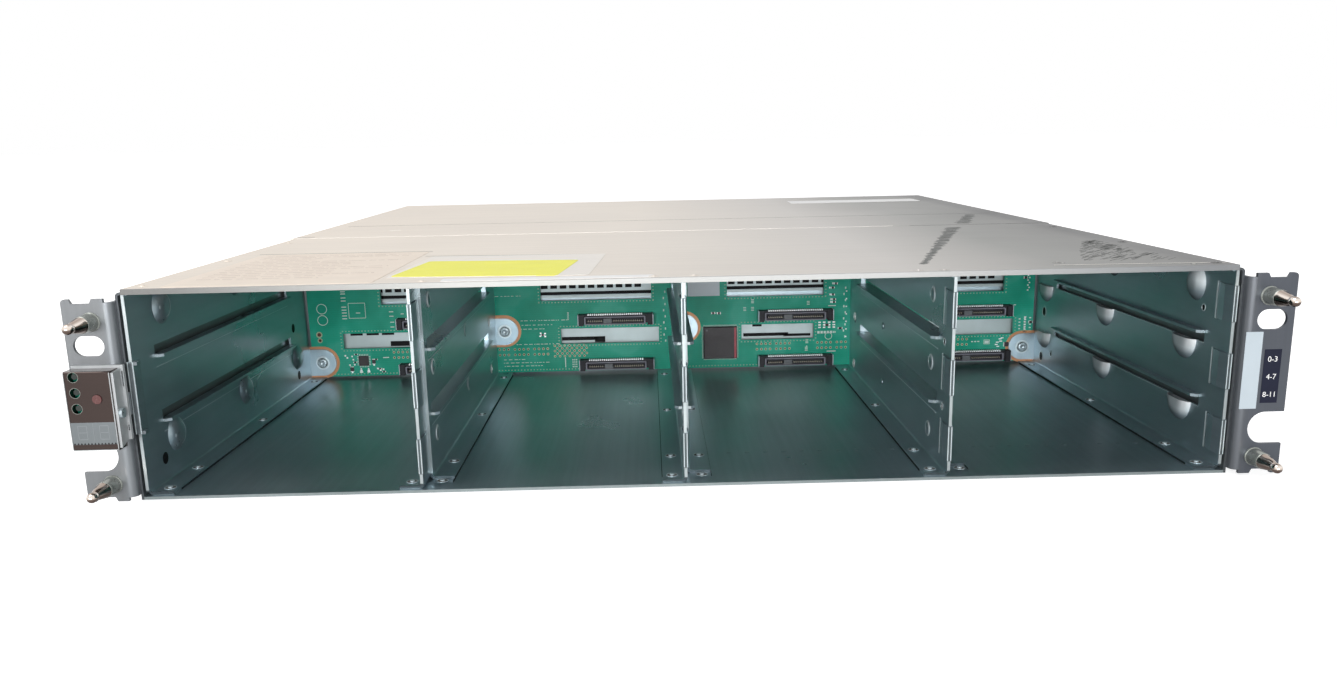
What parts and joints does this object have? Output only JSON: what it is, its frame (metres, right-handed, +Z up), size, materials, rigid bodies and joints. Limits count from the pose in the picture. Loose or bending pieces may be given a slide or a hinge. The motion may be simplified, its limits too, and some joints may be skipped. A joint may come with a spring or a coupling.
{
  "type": "disk shelf enclosure",
  "caption": "Low rack-mount sheet-metal disk shelf with open drive bays, a midplane board, rear module bays, rack ears with bezel studs and a status panel with a push button.",
  "frame": {"origin": "centre of the overall box, on the underside", "axes": "+X to the right seen from the front, +Y from the bezel studs to the rear, +Z up"},
  "size_m": [0.4826, 0.548, 0.086],
  "materials": {
    "zinc_steel": "zinc-plated sheet steel, glossy with a faint grain",
    "cover_steel": "zinc-plated cover sheet, satin",
    "ear_steel": "zinc-plated sheet steel, satin",
    "spring_steel": "bright spring strip",
    "guard_plastic": "pale grey edge guard",
    "circuit_board": "green solder mask on glass-fibre board",
    "screw_steel": "plated screws",
    "standoff_brass": "plain brass",
    "socket_plastic": "black moulded sockets with pale contacts",
    "chip_package": "dark chip package",
    "stud_nickel": "turned and nickel plated",
    "panel_cap": "mirror-bright cap of a bronze tint",
    "panel_bracket_paint": "pale grey plate",
    "display_lens": "grey lens",
    "display_black": "black component bodies",
    "light_pipe": "clear light pipe, unlit",
    "button_plastic": "amber-red push button"
  },
  "bodies": {
    "chassis": {"base_pan": "zinc_steel", "bezel_studs": "stud_nickel", "button_switch": "display_black", "cable_edge_guard": "guard_plastic", "display_window": "display_lens", "divider_1_left_sheet": "zinc_steel", "divider_1_right_sheet": "zinc_steel", "divider_2_left_sheet": "zinc_steel", "divider_2_right_sheet": "zinc_steel", "divider_3_left_sheet": "zinc_steel", "divider_3_right_sheet": "zinc_steel", "drive_connector_00": "socket_plastic", "drive_connector_01": "socket_plastic", "drive_connector_02": "socket_plastic", "drive_connector_03": "socket_plastic", "drive_connector_04": "socket_plastic", "drive_connector_05": "socket_plastic", "drive_connector_06": "socket_plastic", "drive_connector_07": "socket_plastic", "drive_connector_08": "socket_plastic", "drive_connector_09": "socket_plastic", "drive_connector_10": "socket_plastic", "drive_connector_11": "socket_plastic", "emi_clips": "spring_steel", "expander_chip": "chip_package", "id_display": "display_black", "inner_wall_left": "zinc_steel", "inner_wall_right": "zinc_steel", "midplane_board": "circuit_board", "midplane_bulkhead": "zinc_steel", "midplane_screws": "screw_steel", "midplane_standoffs": "standoff_brass", "module_connector_lower": "socket_plastic", "module_connector_upper": "socket_plastic", "module_shelf": "zinc_steel", "monitor_chip": "chip_package", "panel_board": "circuit_board", "panel_bracket": "panel_bracket_paint", "panel_housing": "panel_cap", "panel_screw": "screw_steel", "power_connector_left": "socket_plastic", "power_connector_right": "socket_plastic", "rack_ear_left": "ear_steel", "rack_ear_right": "ear_steel", "rear_divider_left": "zinc_steel", "rear_divider_right": "zinc_steel", "side_panel_left": "cover_steel", "side_panel_right": "cover_steel", "status_light_pipes": "light_pipe", "top_cover_front": "cover_steel", "top_cover_rear": "cover_steel"},
    "button": {"id_button": "button_plastic"}
  },
  "joints": [
    {"name": "id_button_press", "type": "slide", "parent": "chassis", "child": "button", "axis": [0, 1, 0], "range_m": [0, 0.0008], "stiffness_N_per_m": 2500}
  ]
}
